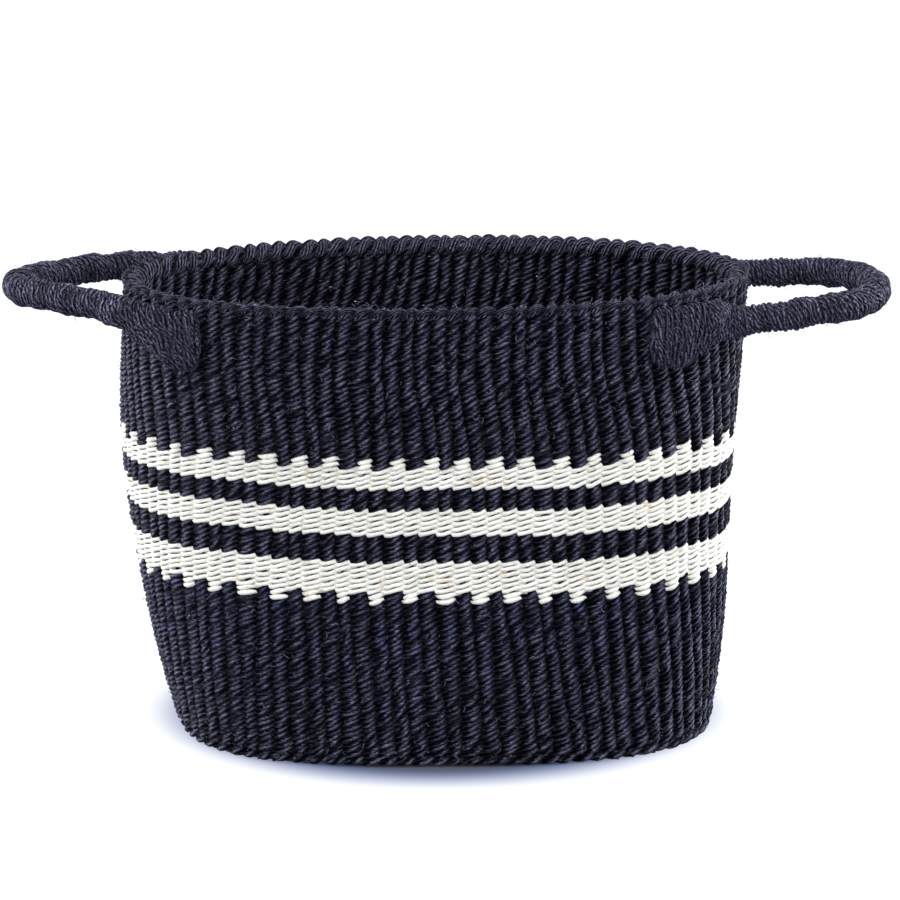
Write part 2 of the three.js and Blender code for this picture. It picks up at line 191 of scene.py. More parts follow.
# The same for every yarn. Scales are per metre of the object, and the ranges are the levels of noise, of
# painted groove shade or of height between which an effect grows to its full strength.
everyYarn = {
    "fibreDetail": 3.0, "fibreRoughness": 0.65, "strandStep": 37.7, "startSpan": 90,
    "patchScale": 95.0, "speckScale": 760.0, "leastSpeck": 0.15, "stainScale": 140.0, "stainStrength": 0.35,
    "tintRange": (0.35, 0.7), "bareTo": 0.97, "glossRange": (0.4, 0.75), "leastShine": 0.02,
    "bumpDepth": 0.9 * mm, "sheenRoughness": 0.35, "sheenTint": (0.6, 0.62, 1.0, 1),
}


def yarnMaterial(name, look):
    material, tree, shader = newMaterial(name)
    yarn = attribute(tree, "yarn", "Vector")
    strand = attribute(tree, "strand")
    parts = addNode(tree, "ShaderNodeSeparateXYZ", {0: yarn}).outputs

    twist = calc(tree, "MULTIPLY", parts["Z"], 2 * math.pi / look["ply"])
    fibreTurn = calc(tree, "MULTIPLY", twist, -2 / look["plySlant"])
    turned = addNode(
        tree, "ShaderNodeVectorRotate", {"Vector": yarn, "Angle": fibreTurn}, rotation_type="Z_AXIS"
    ).outputs[0]
    size = combine(tree, look["fine"], look["fine"], look["lengthwise"])
    shift = combine(tree, z=calc(tree, "MULTIPLY", strand, everyYarn["strandStep"]))
    place = vectorCalc(tree, "ADD", vectorCalc(tree, "MULTIPLY", turned, size), shift)
    fibres = noiseAt(tree, place, 1.0, everyYarn["fibreDetail"], everyYarn["fibreRoughness"])

    across = calc(tree, "MULTIPLY", calc(tree, "ARCTAN2", parts["X"], parts["Y"]), -look["plySlant"])
    chance = addNode(tree, "ShaderNodeTexWhiteNoise", {"W": strand}, noise_dimensions="1D").outputs["Value"]
    start = calc(tree, "MULTIPLY", chance, everyYarn["startSpan"])
    along = calc(tree, "MULTIPLY_ADD", parts["Z"], look["wander"], start)
    wander = addNode(
        tree, "ShaderNodeTexNoise", {"W": along, "Scale": 1.0, "Detail": 1.0}, noise_dimensions="1D"
    ).outputs["Fac"]
    frayed = calc(tree, "MULTIPLY", fibres, look["fray"])
    loose = calc(tree, "MULTIPLY_ADD", wander, look["drift"], frayed)
    angle = calc(tree, "ADD", calc(tree, "MULTIPLY_ADD", twist, 2.0, across), loose)
    ridge = calc(tree, "MULTIPLY_ADD", calc(tree, "COSINE", angle), -0.5, 0.5)
    height = addNode(tree, "ShaderNodeMix", {0: look["plyShare"], 2: fibres, 3: ridge}).outputs[0]

    # Painted shade and highlight: the colour follows the height of the ply ridges, deep in their grooves and
    # bright on their tops
    ramp = addNode(tree, "ShaderNodeValToRGB", {0: height})
    ramp.color_ramp.elements.new(look["stops"][1])
    for element, stop, key in zip(ramp.color_ramp.elements, look["stops"], ("deep", "body", "bright")):
        element.position = stop
        element.color = linear(look[key])

    inSpace = addNode(tree, "ShaderNodeTexCoord").outputs["Object"]
    patches = noiseAt(tree, inSpace, everyYarn["patchScale"], 2.0)
    specks = noiseAt(tree, inSpace, everyYarn["speckScale"], 1.0)
    spots = noiseAt(tree, inSpace, everyYarn["stainScale"], 1.0)
    speck = calc(tree, "MAXIMUM", aroundOne(tree, specks, look["speckle"]), everyYarn["leastSpeck"])
    level = calc(tree, "MULTIPLY", aroundOne(tree, patches, look["patch"]), speck)

    tint = calc(tree, "MULTIPLY", attribute(tree, "tint"), mapRange(tree, patches, everyYarn["tintRange"]))
    tinted = vectorCalc(tree, "MULTIPLY", ramp.outputs[0], look["tinted"])
    coloured = darken(tree, mixColours(tree, tint, ramp.outputs[0], tinted), level)

    # Painted shade: darker where the strand dives into the groove between ribs, down to the hollow level, and
    # along its upper and lower edges, where it meets the next row
    bareRange = (look["bareFrom"], everyYarn["bareTo"])
    bare = mapRange(tree, attribute(tree, "bare"), bareRange, (look["hollowShade"], 1.0))
    fromMiddle = calc(tree, "ABSOLUTE", parts["Y"])
    edge = mapRange(tree, fromMiddle, (look["creaseShadeFrom"], 1.0), (1.0, look["edge"]))
    bare = calc(tree, "MULTIPLY", bare, edge)
    coloured = darken(tree, coloured, bare)

    isStained = calc(tree, "GREATER_THAN", spots, look["stainShare"])
    stained = calc(tree, "MULTIPLY", isStained, everyYarn["stainStrength"])
    coloured = mixColours(tree, stained, coloured, linear(look["stain"]))
    tree.links.new(coloured, shader.inputs["Base Color"])

    bumpInputs = {"Height": height, "Strength": look["bump"], "Distance": everyYarn["bumpDepth"]}
    tree.links.new(addNode(tree, "ShaderNodeBump", bumpInputs).outputs[0], shader.inputs["Normal"])
    # Painted shade on the reflection too: it is weaker in the ply grooves and is cut with the groove shade
    gloss = mapRange(tree, height, everyYarn["glossRange"], (everyYarn["leastShine"], look["shine"]))
    tree.links.new(calc(tree, "MULTIPLY", gloss, bare), shader.inputs["Specular IOR Level"])
    shader.inputs["Roughness"].default_value = look["rough"]
    shader.inputs["Specular Tint"].default_value = (*look["glint"], 1)
    shader.inputs["Sheen Weight"].default_value = look["sheen"]
    shader.inputs["Sheen Roughness"].default_value = everyYarn["sheenRoughness"]
    shader.inputs["Sheen Tint"].default_value = everyYarn["sheenTint"]
    return material


materials = {name: yarnMaterial(name, look) for name, look in yarns.items()}
print("yarn materials made")


# The wall's outline, from the same sizes as the solids. Millimetres, like the other sizes below.
stations = {
    "height": (0, 61.9, 173.9, 279.5),
    "halfLength": (169.5, 181.5, 191.5, 193),
    "halfWidth": (111, 112, 112.5, 127),
    "squareness": (3, 2.6, 2.3, 2.11),
    "twistDeg": (1.3, 0, -1.8, 6.3),
    "shiftX": (4.5, 0, -6.5, 0),
    "spread": (0.085, 0.02, -0.07, -0.165),
}
wall = {
    "warps": 96, "rowPitch": 3.2, "firstRow": 7.5, "thickness": 7.5, "top": 279.5, "rimTop": 284.5,
    "shift": -0.2,
    "drift": [(105, 190, 0.45), (185, 262, -1.0)],  # from mm, to mm, warps
    "wander": [(0.07, 41, 23, 0), (0.06, 23, -31, 1.7), (0.09, 9, 47, 4)],  # warps, waves round, mm, phase
}
outlineSteps = 720
outlines = {}


def stationValue(height, key):
    heights, values = stations["height"], stations[key]
    secants = np.diff(values) / np.diff(heights)
    slopes = np.concatenate([[secants[0]], (secants[1:] + secants[:-1]) / 2, [secants[-1]]])
    i = int(np.clip(np.searchsorted(heights, height, side="right") - 1, 0, len(heights) - 2))
    span = heights[i + 1] - heights[i]
    t = min(max((height - heights[i]) / span, 0), 1)
    rise = t * t * (3 - 2 * t)
    bend = span * (slopes[i] * t * (1 - t) ** 2 - slopes[i + 1] * t * t * (1 - t))
    return values[i] * (1 - rise) + values[i + 1] * rise + bend


def outlineAt(height):
    key = round(height, 3)
    if key not in outlines:
        bearing = -math.pi / 2 + 2 * math.pi * np.arange(outlineSteps + 1) / outlineSteps
        turned = bearing - math.radians(stationValue(height, "twistDeg"))
        n = stationValue(height, "squareness")
        flat = np.abs(np.cos(turned) / stationValue(height, "halfLength")) ** n
        deep = np.abs(np.sin(turned) / stationValue(height, "halfWidth")) ** n
        radius = (flat + deep) ** (-1 / n)
        x = stationValue(height, "shiftX") + radius * np.cos(bearing)
        y = radius * np.sin(bearing)
        run = np.concatenate([[0], np.cumsum(np.hypot(np.diff(x), np.diff(y)))])
        outlines[key] = (x, y, run)
    return outlines[key]


def outlinePoints(height, share, inset=0.0):
    x, y, run = outlineAt(height)
    distance = np.mod(share, 1) * run[-1]
    step = run[-1] / outlineSteps
    ahead, behind = np.mod(distance + step, run[-1]), np.mod(distance - step, run[-1])
    dx = np.interp(ahead, run, x) - np.interp(behind, run, x)
    dy = np.interp(ahead, run, y) - np.interp(behind, run, y)
    length = np.hypot(dx, dy)
    outward = np.stack([dy / length, -dx / length, np.zeros_like(dx)], -1)
    onLine = [np.interp(distance, run, x), np.interp(distance, run, y), np.full_like(dx, height)]
    return np.stack(onLine, -1) - outward * np.reshape(inset, (-1, 1)), outward


# The ribs drift to the right through the bands and to the left above them, and each strays a little from its
# neighbours
def warpShare(height, warps):
    share = np.asarray(warps, float) / wall["warps"]
    stray = wall["shift"]
    for low, high, far in wall["drift"]:
        t = min(max((height - low) / (high - low), 0), 1)
        stray += far * t * t * (3 - 2 * t)
    for size, waves, rise, phase in wall["wander"]:
        stray = stray + size * np.sin(2 * math.pi * waves * share + height / rise + phase)
    share = share + stray / wall["warps"]
    return share + stationValue(height, "spread") * np.sin(4 * math.pi * share) / (4 * math.pi)


def warpPoints(height, warps, inset=0.0):
    return outlinePoints(height, warpShare(height, warps), inset)


# Each geometry tree takes a mesh and gives back another one, in a single material
def newTree(name, sockets):
    tree = bpy.data.node_groups.new(name, "GeometryNodeTree")
    face = tree.interface
    face.new_socket(name="Geometry", in_out="INPUT", socket_type="NodeSocketGeometry")
    for kind, labels in sockets.items():
        for label in labels:
            face.new_socket(name=label, in_out="INPUT", socket_type="NodeSocket" + kind)
    face.new_socket(name="Material", in_out="INPUT", socket_type="NodeSocketMaterial")
    face.new_socket(name="Geometry", in_out="OUTPUT", socket_type="NodeSocketGeometry")
    return tree, tree.nodes.new("NodeGroupInput").outputs


def endTree(tree, geometry, material):
    real = addNode(tree, "GeometryNodeRealizeInstances", {"Geometry": geometry}).outputs[0]
    dressed = addNode(tree, "GeometryNodeSetMaterial", {"Geometry": real, "Material": material}).outputs[0]
    addNode(tree, "NodeGroupOutput", {"Geometry": dressed})
    return tree


strandNoise = {"seedStep": 3.17, "roughness": 0.6, "leastPlump": 0.75, "plump": 0.5}


# A rail is the middle line of one strand. The tree swings the strand from side to side of it, as twined weft
# swings from the outside of the wall to the inside, and gives it its thickness.
def makeStrandTree(name, normals):
    tree, given = newTree(name, {
        "Float": (
            "Swing", "Lean", "Strand depth", "Strand height", "Narrowing", "Flatness", "Unevenness",
            "Noise scale", "Noise detail", "Groove shading", "Stitch length",
        ),
        "Int": ("Sides", "Seed"),
    })

    def stored(label, kind="FLOAT"):
        return addNode(tree, "GeometryNodeInputNamedAttribute", {"Name": label}, data_type=kind).outputs[0]

    def store(geometry, label, value, kind="FLOAT"):
        inputs = {"Geometry": geometry, "Name": label, "Value": value}
        made = addNode(tree, "GeometryNodeStoreNamedAttribute", inputs, data_type=kind, domain="POINT")
        return made.outputs[0]

    angle = calc(tree, "MULTIPLY", stored("turn"), math.pi)
    side, rise = calc(tree, "COSINE", angle), calc(tree, "SINE", angle)
    away = calc(tree, "ABSOLUTE", side)
    between = calc(tree, "SUBTRACT", 1.0, away)
    flattened = calc(tree, "POWER", away, given["Flatness"])
    side = calc(tree, "MULTIPLY", calc(tree, "SIGN", side), flattened)
    swingBy = calc(tree, "MULTIPLY", side, given["Swing"])
    leanBy = calc(tree, "MULTIPLY", rise, given["Lean"])
    swing = vectorCalc(tree, "SCALE", stored("outward", "FLOAT_VECTOR"), scale=swingBy)
    lean = vectorCalc(tree, "SCALE", stored("across", "FLOAT_VECTOR"), scale=leanBy)

    here = tree.nodes.new("GeometryNodeInputPosition").outputs[0]
    seed = calc(tree, "MULTIPLY_ADD", stored("strand"), strandNoise["seedStep"], given["Seed"])
    wobble = addNode(
        tree, "ShaderNodeTexNoise",
        {"Vector": here, "W": seed, "Scale": given["Noise scale"], "Detail": given["Noise detail"],
         "Roughness": strandNoise["roughness"]},
        noise_dimensions="4D",
    ).outputs
    strayBy = calc(tree, "MULTIPLY", stored("loose"), given["Unevenness"])
    stray = vectorCalc(tree, "SUBTRACT", wobble["Color"], (0.5, 0.5, 0.5))
    stray = vectorCalc(tree, "SCALE", stray, scale=strayBy)
    offset = vectorCalc(tree, "ADD", vectorCalc(tree, "ADD", swing, lean), stray)
    moving = {"Geometry": given["Geometry"], "Offset": offset}
    line = addNode(tree, "GeometryNodeSetPosition", moving).outputs[0]
    line = addNode(tree, "GeometryNodeMeshToCurve", {"Mesh": line}).outputs[0]
    line = addNode(tree, "GeometryNodeSetCurveNormal", {"Curve": line}, mode=normals).outputs[0]

    length = tree.nodes.new("GeometryNodeSplineParameter").outputs["Length"]
    stitched = calc(tree, "MULTIPLY", stored("turn"), given["Stitch length"])
    isStitched = calc(tree, "GREATER_THAN", given["Stitch length"], 0.0)
    along = addNode(tree, "ShaderNodeMix", {0: isStitched, 2: length, 3: stitched}).outputs[0]
    line = store(line, "along", along)
    # Painted shade for the material: the strand is darkened where it dives between the ribs to the middle of
    # the wall
    shaded = calc(tree, "MULTIPLY", between, given["Groove shading"])
    line = store(line, "bare", calc(tree, "SUBTRACT", 1.0, shaded))

    circle = {"Resolution": given["Sides"], "Radius": 1.0}
    ring = addNode(tree, "GeometryNodeCurvePrimitiveCircle", circle).outputs[0]
    ring = store(ring, "round", here, "FLOAT_VECTOR")
    shape = combine(tree, given["Strand depth"], given["Strand height"], 1.0)
    ring = addNode(tree, "GeometryNodeTransform", {"Geometry": ring, "Scale": shape}).outputs[0]

    thin = calc(tree, "SUBTRACT", 1.0, calc(tree, "MULTIPLY", between, given["Narrowing"]))
    plump = calc(tree, "MULTIPLY_ADD", wobble["Fac"], strandNoise["plump"], strandNoise["leastPlump"])
    width = calc(tree, "MULTIPLY", thin, calc(tree, "MULTIPLY", plump, stored("thick")))
    tube = addNode(
        tree, "GeometryNodeCurveToMesh",
        {"Curve": line, "Profile Curve": ring, "Scale": width, "Fill Caps": True},
    ).outputs[0]
    yarn = vectorCalc(tree, "ADD", stored("round", "FLOAT_VECTOR"), combine(tree, z=stored("along")))
    tube = store(tube, "yarn", yarn, "FLOAT_VECTOR")
    for label in ("round", "along", "outward", "across", "turn", "thick", "loose"):
        tube = addNode(tree, "GeometryNodeRemoveAttribute", {"Geometry": tube, "Name": label}).outputs[0]
    tube = addNode(tree, "GeometryNodeSetShadeSmooth", {"Geometry": tube}).outputs[0]
    return endTree(tree, tube, given["Material"])


levelTree = makeStrandTree("level strands", "Z_UP")
windingTree = makeStrandTree("winding strands", "MINIMUM_TWIST")
lengths = (
    "Swing", "Lean", "Strand depth", "Strand height", "Unevenness", "Stitch length", "Length", "Thickness",
)
straight = {
    "Swing": 0.0, "Lean": 0.0, "Narrowing": 0.0, "Flatness": 1.0, "Unevenness": 0.0, "Noise scale": 70.0,
    "Noise detail": 1.0, "Groove shading": 0.0, "Stitch length": 0.0, "Sides": 6, "Seed": 5,
}


def rail(
    points, outward=None, turn=None, across=upward, strand=0.0, tint=0.0, thick=1.0, loose=1.0, closed=False
):
    count = len(points)
    return {
        "points": np.asarray(points, float) * mm,
        "outward": np.zeros((count, 3)) if outward is None else outward,
        "across": np.broadcast_to(across, (count, 3)),
        "turn": np.zeros(count) if turn is None else turn,
        "strand": np.full(count, strand),
        "tint": np.broadcast_to(tint, count),
        "thick": np.broadcast_to(thick, count),
        "loose": np.broadcast_to(loose, count),
        "closed": closed,
    }


def growWith(piece, tree, values):
    modifier = piece.modifiers.new(tree.name, "NODES")
    modifier.node_group = tree
    for item in tree.interface.items_tree:
        if item.in_out == "INPUT" and item.name in values:
            value = values[item.name]
            modifier[item.identifier] = value * mm if item.name in lengths else value


def strandPiece(name, rails, values, material, body, replaced=(), tree=levelTree):
    mesh = bpy.data.meshes.new(name)
    edges, start = [], 0
    for one in rails:
        count = len(one["points"])
        steps = np.arange(start, start + count)
        pairs = np.stack([steps, np.roll(steps, -1)], -1)
        edges.append(pairs if one["closed"] else pairs[:-1])
        start += count
    mesh.vertices.add(start)
    mesh.vertices.foreach_set("co", np.concatenate([one["points"] for one in rails]).ravel())
    edges = np.concatenate(edges)
    mesh.edges.add(len(edges))
    mesh.edges.foreach_set("vertices", edges.ravel())
    for key in rails[0]:
        if key in ("points", "closed"):
            continue
        data = np.concatenate([one[key] for one in rails])
        kind, field = ("FLOAT_VECTOR", "vector") if data.ndim == 2 else ("FLOAT", "value")
        mesh.attributes.new(key, kind, "POINT").data.foreach_set(field, data.astype(np.float32).ravel())
    piece = addObject(name, mesh)
    growWith(piece, tree, {**straight, **values, "Material": material})
    return settle(piece, body, replaced)


# A piece's modifier is turned into its plain mesh before it rides on a body
def settle(piece, body, replaced=()):
    bpy.context.view_layer.update()
    evaluated = piece.evaluated_get(bpy.context.evaluated_depsgraph_get())
    rough = piece.data
    piece.data = bpy.data.meshes.new_from_object(evaluated)
    piece.data.name = piece.name
    piece.modifiers.clear()
    bpy.data.meshes.remove(rough)
    if body:
        finishPiece(piece, body, replaced)
    return piece


def finishPiece(piece, body, replaced=()):
    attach(piece, body)
    if replaced:
        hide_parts(*replaced)


# Twined rows: two strands to a row, one a warp behind the other. Rows start at scattered warps.
twining = {
    "samplesPerWarp": 5, "startStep": 38, "startShift": 31, "thinnest": 0.2, "pointed": 0.55, "plump": 1.4,
    "sway": [(0.45, 7, 0.4), (0.35, 17, 2.1)],  # mm, waves round, phase
}
anyWeft = {
    "Strand depth": 1.4, "Groove shading": 1.0, "Noise scale": 130, "Noise detail": 2, "Stitch length": 10.8,
    "Sides": 7, "Seed": 3,
}
wefts = {
    "dark": {
        **anyWeft, "Swing": 2.4, "Flatness": 1.0, "Lean": 1.45, "Strand height": 1.7, "Narrowing": 0.0,
        "Unevenness": 2.3,
    },
    "pale": {
        **anyWeft, "Swing": 1.9, "Flatness": 0.8, "Lean": 1.08, "Strand height": 1.34, "Narrowing": -0.25,
        "Unevenness": 2.6,
    },
}


# A strand that has its row's other colour beside it is thin where the two cross
def rowRail(row, phase, tint=0.0, toothed=False):
    height = wall["firstRow"] + (row + 0.5) * wall["rowPitch"]
    first = (row * twining["startStep"] + twining["startShift"]) % wall["warps"] + phase + 1
    perWarp = twining["samplesPerWarp"]
    warps = first + np.arange(wall["warps"] * perWarp + 1) / perWarp
    points, outward = warpPoints(height, warps, wall["thickness"] / 2)
    for size, waves, shift in twining["sway"]:
        points[:, 2] += size * np.sin(2 * math.pi * waves * warps / wall["warps"] + shift)
    away = np.maximum(np.abs(np.cos(np.pi * (warps - phase))), twining["thinnest"])
    thick = twining["plump"] * away ** twining["pointed"] if toothed else 1.0
    return rail(points, outward, warps - phase, strand=row * 2.0 + phase, tint=tint, thick=thick)


both = (0, 1)


def wholeRows(first, end):
    return [(row, both) for row in range(first, end)]


# Rows from the ground up: name, replaced node, yarn, and the rows with the phases of their strands. A toothed
# row has one strand of each colour, so each colour shows on every second warp.
bands = [
    ("lower_weave_a", "lower_wall", "dark", wholeRows(0, 10)),
    ("lower_weave_b", "lower_wall", "dark", wholeRows(10, 20)),
    ("lower_weave_c", "lower_wall", "dark", wholeRows(20, 30) + [(30, (0,)), (31, (0,))]),
    ("pale_weave_lower", "pale_band_lower", "pale", [(30, (1,)), (31, (1,))] + wholeRows(32, 38)),
    ("dark_weave_lower", "dark_band_lower", "dark", wholeRows(38, 43)),
    ("pale_weave_middle", "pale_band_middle", "pale", wholeRows(43, 48)),
    ("dark_weave_upper", "dark_band_upper", "dark", wholeRows(48, 52)),
    ("pale_weave_upper", "pale_band_upper", "pale", wholeRows(52, 56) + [(56, (0,)), (57, (0,))]),
    ("upper_weave_a", "upper_wall", "dark", [(56, (1,)), (57, (1,))] + wholeRows(58, 67)),
    ("upper_weave_b", "upper_wall", "dark", wholeRows(67, 76)),
    ("upper_weave_c", "upper_wall", "dark", wholeRows(76, 85)),
]
# Under the lower teeth the yarn is deeper and bluer, most of all in the ribs right below them
tinge = {"node": "lower_wall", "rows": (4, 32), "strands": (0.5, 1.0)}

for name, node, colour, rows in bands:
    rails = []
    for row, phases in rows:
        for phase in phases:
            grown = np.interp(row, tinge["rows"], [0, 1])
            tint = tinge["strands"][phase] * grown if node == tinge["node"] else 0.0
            toothed = colour == "pale" and len(phases) == 1
            rails.append(rowRail(row, phase, tint, toothed))
    material, slot = materials[colour + "Sisal"], colour + "_sisal"
    strandPiece(name, rails, wefts[colour], material, "basket", [node])
print("wall twined:", sum(len(phases) for band in bands for _, phases in band[3]), "strands")


# Warps: straight bundles that the weft swings round, seen only through gaps
warpBundle = {"from": 6, "past": 1, "samples": 12, "strand": {"Strand depth": 1.1, "Strand height": 2.0}}
rails = []
for k in range(wall["warps"]):
    heights = np.linspace(warpBundle["from"], wall["top"] + warpBundle["past"], warpBundle["samples"])
    points = [warpPoints(h, [k], wall["thickness"] / 2)[0][0] for h in heights]
    rails.append(rail(points, strand=k * 1.0))
strandPiece("warps", rails, warpBundle["strand"], materials["darkSisal"], "basket")
print("warps set")


# Ground row: one thick pair of strands twisted along the foot
groundRow = {
    "middle": 3.75, "inset": 4.4, "lumps": 88, "samplesPerLump": 5,
    "strand": {
        "Swing": 1.6, "Lean": 1.6, "Strand depth": 2.5, "Strand height": 1.9, "Narrowing": 0.1,
        "Unevenness": 1.2, "Groove shading": 0.6, "Sides": 12, "Seed": 8,
    },
}
rails = []
for phase in both:
    count = groundRow["lumps"] * groundRow["samplesPerLump"]
    lumps = groundRow["lumps"] / 2 + np.arange(count + 1) / groundRow["samplesPerLump"]
    points, outward = outlinePoints(0, lumps / groundRow["lumps"], groundRow["inset"])
    points[:, 2] = groundRow["middle"]
    rails.append(rail(points, outward, lumps - phase, strand=phase + 0.5))
strandPiece(
    "ground_rope", rails, groundRow["strand"], materials["darkSisal"], "basket", ["ground_row"]
)


# Base: straight twined rows from side to side
base = {
    "height": 2.9, "inset": 6.0, "rowPitch": 3.5, "warpPitch": 11, "samplesPerWarp": 3,
    "strand": {
        "Swing": 1.1, "Lean": 0.9, "Strand depth": 1.85, "Strand height": 1.5, "Narrowing": 0.1,
        "Unevenness": 0.3, "Groove shading": 1.0, "Seed": 11,
    },
}
edge, _ = outlinePoints(0, np.arange(outlineSteps) / outlineSteps, base["inset"])
front, back = edge[:, 1].min(), edge[:, 1].max()
rails = []
for row, y in enumerate(np.arange(front + base["rowPitch"] / 2, back, base["rowPitch"])):
    inRow = edge[np.abs(edge[:, 1] - y) < base["rowPitch"]]
    left, right = inRow[:, 0].min(), inRow[:, 0].max()
    count = int((right - left) / base["warpPitch"] * base["samplesPerWarp"])
    x = np.linspace(left, right, count)
    points = np.stack([x, np.full(count, y), np.full(count, base["height"])], -1)
    outward = np.broadcast_to([0.0, 0.0, -1.0], (count, 3))
    for phase in both:
        turn = x / base["warpPitch"] - phase
        rails.append(rail(points, outward, turn, across=(0, 1, 0), strand=row * 2.0 + phase))
strandPiece("base_weave", rails, base["strand"], materials["darkSisal"], "basket", ["base_mat"])
print("base and ground row made")


# Rim: from each warp a bundle goes over the edge, leaning along it, and down inside. A twined cord runs along
# the outer edge, with one arch to a warp.
loops = {
    "lean": 1.3, "leanBehind": 0.25, "samplesPerSection": 2, "taper": 0.8, "tip": 0.5,
    "sections": [  # inset from the ribs, height
        (3.6, 277.5), (3.2, 280.2), (4.6, 281.7), (6.6, 281.6), (8.8, 279.8), (9.6, 276.8), (8.6, 274.4),
    ],
    "strand": {
        "Strand depth": 2.9, "Strand height": 2.9, "Unevenness": 3.2, "Sides": 12, "Noise detail": 2.0,
        "Seed": 21,
    },
}
rimCore = {
    "inset": 5.9, "height": 278.6, "samplesPerWarp": 2,
    "strand": {"Strand depth": 3.4, "Strand height": 2.4, "Sides": 10},
}
cord = {
    "inset": 2.4, "height": 281.4, "rise": 1.1, "samplesPerWarp": 6,
    "strand": {
        "Swing": 1.8, "Lean": 1.0, "Strand depth": 1.4, "Strand height": 1.6, "Narrowing": 0.15,
        "Unevenness": 1.6, "Groove shading": 1.0, "Sides": 9, "Seed": 17,
    },
}
looseEnd = {
    "line": [(148.5, 101.5, 274.5), (150.5, 99.5, 273), (152.0, 98.0, 270), (152.5, 97.0, 266)],
    "strand": {"Strand depth": 0.9, "Strand height": 0.9, "Sides": 8},
}

rails = []
corners = np.array(loops["sections"])
lastCorner = len(corners) - 1
steps = np.linspace(0, lastCorner, lastCorner * loops["samplesPerSection"] + 1)
insets, heights = (np.interp(steps, np.arange(len(corners)), column) for column in corners.T)
ends = np.interp(np.minimum(steps, lastCorner - steps), [0, loops["taper"]], [loops["tip"], 1.0])
for k in range(wall["warps"]):
    warps = k + loops["lean"] * (steps / lastCorner - loops["leanBehind"])
    points, _ = warpPoints(wall["top"], warps, insets)
    points[:, 2] = heights
    rails.append(rail(points, strand=k * 2.0, thick=ends))
strandPiece(
    "rim_loops", rails, loops["strand"], materials["rimSisal"], "basket", ["rim_braid"],
    windingTree,
)

perWarp = rimCore["samplesPerWarp"]
points, outward = warpPoints(wall["top"], np.arange(perWarp * wall["warps"]) / perWarp, rimCore["inset"])
points[:, 2] = rimCore["height"]
strandPiece(
    "rim_core", [rail(points, outward, closed=True)], rimCore["strand"], materials["darkSisal"], "basket",
)

rails = []
for phase in both:
    perWarp = cord["samplesPerWarp"]
    warps = wall["warps"] / 2 + np.arange(wall["warps"] * perWarp + 1) / perWarp
    points, outward = warpPoints(wall["top"], warps, cord["inset"])
    points[:, 2] = cord["height"]
    rails.append(rail(points, outward + upward * cord["rise"], warps - phase, strand=phase + 0.3))
strandPiece("rim_cord", rails, cord["strand"], materials["rimSisal"], "basket")
strandPiece(
    "loose_end", [rail(looseEnd["line"])], looseEnd["strand"], materials["rimSisal"], "basket",
    tree=windingTree,
)
print("rim plaited")


# Handles: yarn wound in close turns round a rope, whose ends are fanned out flat under the rim. A handle's
# middle line is sampled at each millimetre, so knuckle and clear are counts of samples too.
rope = {
    "radius": 9.2, "standOff": 4, "samplesPerHalf": 40, "smoothing": 9, "smoothOver": 8,
    "yarn": 1.8, "pitch": 3.2, "around": 24, "leastRadius": 1.15, "knuckle": 10, "clear": 11,
    "calm": 0.35, "calmZone": (25, 55), "darkZone": (30, 60),
    "swell": [(0.035, 3.1, 0.3), (0.04, 5.3, 1.9), (0.03, 1.3, 0.8)],  # share, mm, phase
}
# The rail of the winding carries the rope's own half sizes, so Swing and Lean are 1 in metres
winding = {
    "Swing": 1 / mm, "Lean": 1 / mm, "Strand depth": rope["yarn"], "Strand height": rope["yarn"],
    "Unevenness": 4.4, "Noise scale": 95.0, "Noise detail": 3.0, "Sides": 8, "Seed": 31,
}
# The rope's core is darkened, as painted shade, since it shows only in the gaps between the turns
ropeCore = {"share": 0.84, "sides": 16, "samplesPerRing": 3, "bare": 0.7}
fan = {
    "start": 21, "height": 42, "thickness": 6, "gap": 0.5, "wrap": 1.8, "slant": 8, "fullness": 1.7,
    "flatness": 0.75, "from": 6, "taper": 3.6, "taperFrom": 0.6, "sections": 12, "hang": 0.1,
    "capLength": 3.4, "capPitch": 1.0, "capSections": (0.97, 0.85, 0.6, 0.3),
}
handles = {
    "left": {
        "front": {"turnDeg": 200.3, "drop": 12, "headingDeg": 140, "climbDeg": 10, "pull": 26},
        "back": {"turnDeg": 155, "drop": 12, "headingDeg": 180, "climbDeg": 3, "pull": 45},
        "tip": {"out": 84, "back": -12, "up": 3.5, "frontWidth": 28, "backWidth": 38},
        "fan": 51, "side": -1,
    },
    "right": {
        "front": {"turnDeg": -17.3, "drop": 20, "headingDeg": -10, "climbDeg": 10, "pull": 44},
        "back": {"turnDeg": 22.5, "drop": 17, "headingDeg": 5, "climbDeg": 0, "pull": 45},
        "tip": {"out": 89, "back": 3, "up": 7.5, "frontWidth": 76, "backWidth": 60},
        "fan": 56, "side": 1,
    },
}


def unit(vector):
    return np.asarray(vector, float) / np.linalg.norm(vector)


def rootOf(end):
    turn = ((end["turnDeg"] + 90) % 360) / 360
    run = outlineAt(wall["top"])[2]
    share = run[round(turn * outlineSteps)] / run[-1]
    centre, _ = outlinePoints(wall["top"], np.array([share]), -rope["radius"] - rope["standOff"])
    centre[0, 2] = wall["rimTop"] - end["drop"]
    return share, centre[0]


def ropeLine(handle):
    ends = []
    for key in ("front", "back"):
        end = handle[key]
        heading, climb = math.radians(end["headingDeg"]), math.radians(end["climbDeg"])
        way = unit([math.cos(heading), math.sin(heading), math.tan(climb)])
        centre = rootOf(end)[1]
        ends.append((centre, centre + way * end["pull"]))
    (front, frontPull), (back, backPull) = ends
    shape = handle["tip"]
    tip = (front + back) / 2 + [handle["side"] * shape["out"], shape["back"], shape["up"]]
    toFront, toBack = tip - [0, shape["frontWidth"], 0], tip + [0, shape["backWidth"], 0]
    t = np.linspace(0, 1, rope["samplesPerHalf"])[:, None]

    def bezier(a, b, c, d):
        return a * (1 - t) ** 3 + 3 * b * t * (1 - t) ** 2 + 3 * c * t * t * (1 - t) + d * t ** 3

    near = bezier(front, frontPull, toFront, tip)
    far = bezier(tip, toBack, backPull, back)
    return np.concatenate([near, far[1:]])


